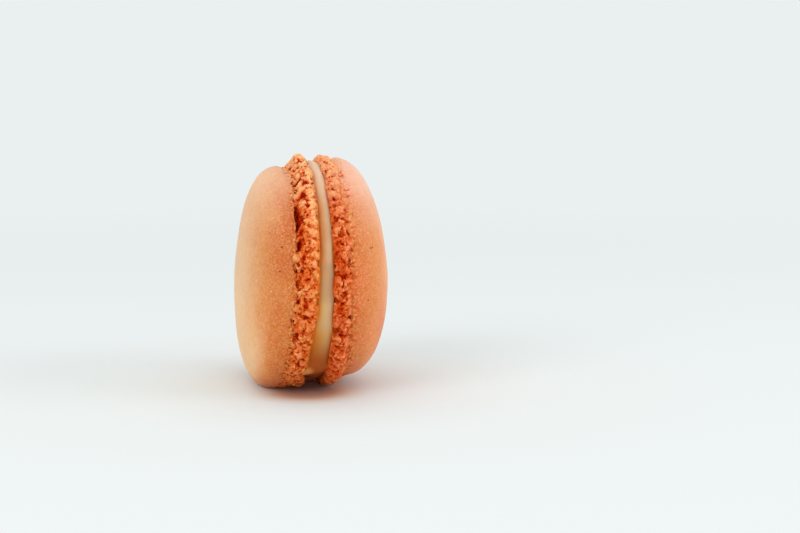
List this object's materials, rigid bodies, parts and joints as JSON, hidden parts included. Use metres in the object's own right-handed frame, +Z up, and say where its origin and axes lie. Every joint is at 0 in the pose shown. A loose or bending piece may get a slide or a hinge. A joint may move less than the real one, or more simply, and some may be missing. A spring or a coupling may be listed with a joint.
{
  "type": "french macaron",
  "caption": "French macaron standing on its edge: smooth domed almond shells with ragged frothy feet, pressed together on a disc of cream filling.",
  "frame": {"origin": "middle of the macaron's box at its bottom, on the surface it stands on", "axes": "+X along the macaron's axis, from the left shell's crown towards the right shell's crown; +Z up, so that the macaron stands on its edge; -Y towards the viewer"},
  "size_m": [0.0302, 0.0476, 0.0473],
  "materials": {
    "left_shell": "matt baked almond meringue, peach, with a paler frothy foot",
    "right_shell": "matt baked almond meringue, pinker peach, with a darker orange foot",
    "cream": "smooth cream filling with a soft gloss"
  },
  "bodies": {
    "root": {"shell_left": "left_shell", "filling": "cream", "shell_right": "right_shell"}
  },
  "joints": []
}
